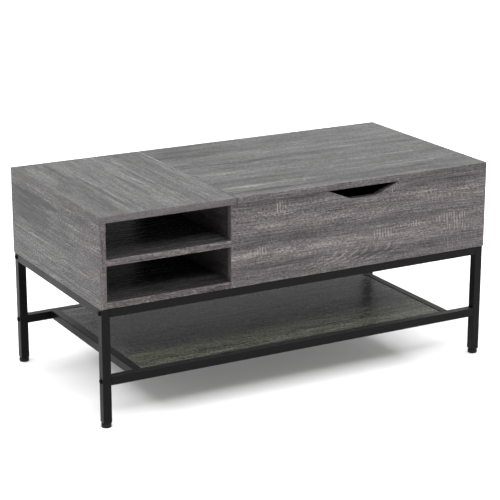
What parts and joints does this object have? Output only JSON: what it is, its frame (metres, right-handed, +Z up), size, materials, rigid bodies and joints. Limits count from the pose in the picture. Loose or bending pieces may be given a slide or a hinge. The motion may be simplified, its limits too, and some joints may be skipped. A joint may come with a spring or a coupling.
{
  "type": "lift top coffee table",
  "caption": "Rectangular lift top coffee table: wood-effect box with two open cubbies, storage under a top that lifts towards the sitter, and a black tube frame with a lower shelf.",
  "frame": {"origin": "on the floor under the middle of the table", "axes": "+X along the length with the open cubbies at -X, -Y towards the front with the finger notch, +Z up"},
  "size_m": [1.0034, 0.494, 0.477],
  "materials": {
    "oak_laminate_top": "grey rustic oak laminate, satin, fine embossed grain",
    "oak_laminate_body": "grey-brown rustic oak laminate with saw marks, satin",
    "oak_laminate_shelf": "grey rustic oak laminate, semi-gloss",
    "powder_coated_steel": "black powder coat, fine texture",
    "black_bolts": "black oxide, satin",
    "black_plastic": "moulded, matt",
    "zinc_steel": "zinc plated, satin",
    "linkage_steel": "black electrocoated pressed steel, satin",
    "spring_steel": "drawn spring wire, oiled",
    "beech": "plain fluted beech",
    "bumper_rubber": "soft, matt"
  },
  "bodies": {
    "table": {"base_bracket_left": "linkage_steel", "base_bracket_right": "linkage_steel", "base_bracket_screws": "zinc_steel", "base_pivot_pins": "zinc_steel", "box_screws": "black_bolts", "cam_bolts": "zinc_steel", "cam_locks": "zinc_steel", "cross_rail_left": "powder_coated_steel", "cross_rail_right": "powder_coated_steel", "cubby_bottom": "oak_laminate_body", "cubby_shelf": "oak_laminate_body", "divider_panel": "oak_laminate_body", "fixed_top": "oak_laminate_top", "frame_bolts": "black_bolts", "front_panel": "oak_laminate_body", "left_panel": "oak_laminate_body", "leg_front_left": "powder_coated_steel", "leg_front_right": "powder_coated_steel", "leg_plugs": "black_plastic", "leg_rear_left": "powder_coated_steel", "leg_rear_right": "powder_coated_steel", "lid_bumpers": "bumper_rubber", "lower_rail_front": "powder_coated_steel", "lower_rail_rear": "powder_coated_steel", "lower_shelf": "oak_laminate_shelf", "rail_end_nuts": "zinc_steel", "rear_panel": "oak_laminate_body", "right_panel": "oak_laminate_body", "shelf_screws": "black_bolts", "shelf_tabs": "powder_coated_steel", "side_rail_left": "powder_coated_steel", "side_rail_right": "powder_coated_steel", "spring_anchor_studs": "zinc_steel", "spring_left": "spring_steel", "spring_right": "spring_steel", "storage_bottom": "oak_laminate_body", "top_rail_front": "powder_coated_steel", "top_rail_rear": "powder_coated_steel", "wood_dowels": "beech"},
    "lift_arms": {"rear_arm_left": "linkage_steel", "rear_arm_right": "linkage_steel", "cross_tube": "linkage_steel", "rear_top_pins": "zinc_steel", "lever_studs": "zinc_steel"},
    "front_arm_left_body": {"front_arm_left": "linkage_steel", "front_top_pin_left": "zinc_steel"},
    "front_arm_right_body": {"front_arm_right": "linkage_steel", "front_top_pin_right": "zinc_steel"},
    "lift_top_body": {"lift_top": "oak_laminate_top", "top_bracket_left": "linkage_steel", "top_bracket_right": "linkage_steel", "top_bracket_screws": "zinc_steel"},
    "foot_front_left_body": {"foot_front_left": "black_plastic"},
    "foot_front_right_body": {"foot_front_right": "black_plastic"},
    "foot_rear_left_body": {"foot_rear_left": "black_plastic"},
    "foot_rear_right_body": {"foot_rear_right": "black_plastic"}
  },
  "joints": [
    {"name": "lift_swing", "type": "hinge", "parent": "table", "child": "lift_arms", "pos_m": [0.1575, -0.09, 0.37], "axis": [1, 0, 0], "range_deg": [0, 112], "deforming": ["spring_left", "spring_right"]},
    {"name": "front_arm_left_swing", "type": "hinge", "parent": "table", "child": "front_arm_left_body", "pos_m": [-0.1655, -0.14393, 0.3963], "axis": [1, 0, 0], "range_deg": [0, 112]},
    {"name": "front_arm_right_swing", "type": "hinge", "parent": "table", "child": "front_arm_right_body", "pos_m": [0.4805, -0.14393, 0.3963], "axis": [1, 0, 0], "range_deg": [0, 112]},
    {"name": "lift_top_level", "type": "hinge", "parent": "lift_arms", "child": "lift_top_body", "pos_m": [0.1575, 0.10805, 0.39783], "axis": [1, 0, 0], "range_deg": [-112, 0]},
    {"name": "foot_front_left_screw", "type": "slide", "parent": "table", "child": "foot_front_left_body", "axis": [0, 0, -1], "range_m": [0, 0.008]},
    {"name": "foot_front_right_screw", "type": "slide", "parent": "table", "child": "foot_front_right_body", "axis": [0, 0, -1], "range_m": [0, 0.008]},
    {"name": "foot_rear_left_screw", "type": "slide", "parent": "table", "child": "foot_rear_left_body", "axis": [0, 0, -1], "range_m": [0, 0.008]},
    {"name": "foot_rear_right_screw", "type": "slide", "parent": "table", "child": "foot_rear_right_body", "axis": [0, 0, -1], "range_m": [0, 0.008]}
  ],
  "couplings": [
    {"joint": "front_arm_left_swing", "follows": "lift_swing", "ratio": 1},
    {"joint": "front_arm_right_swing", "follows": "lift_swing", "ratio": 1},
    {"joint": "lift_top_level", "follows": "lift_swing", "ratio": -1}
  ]
}
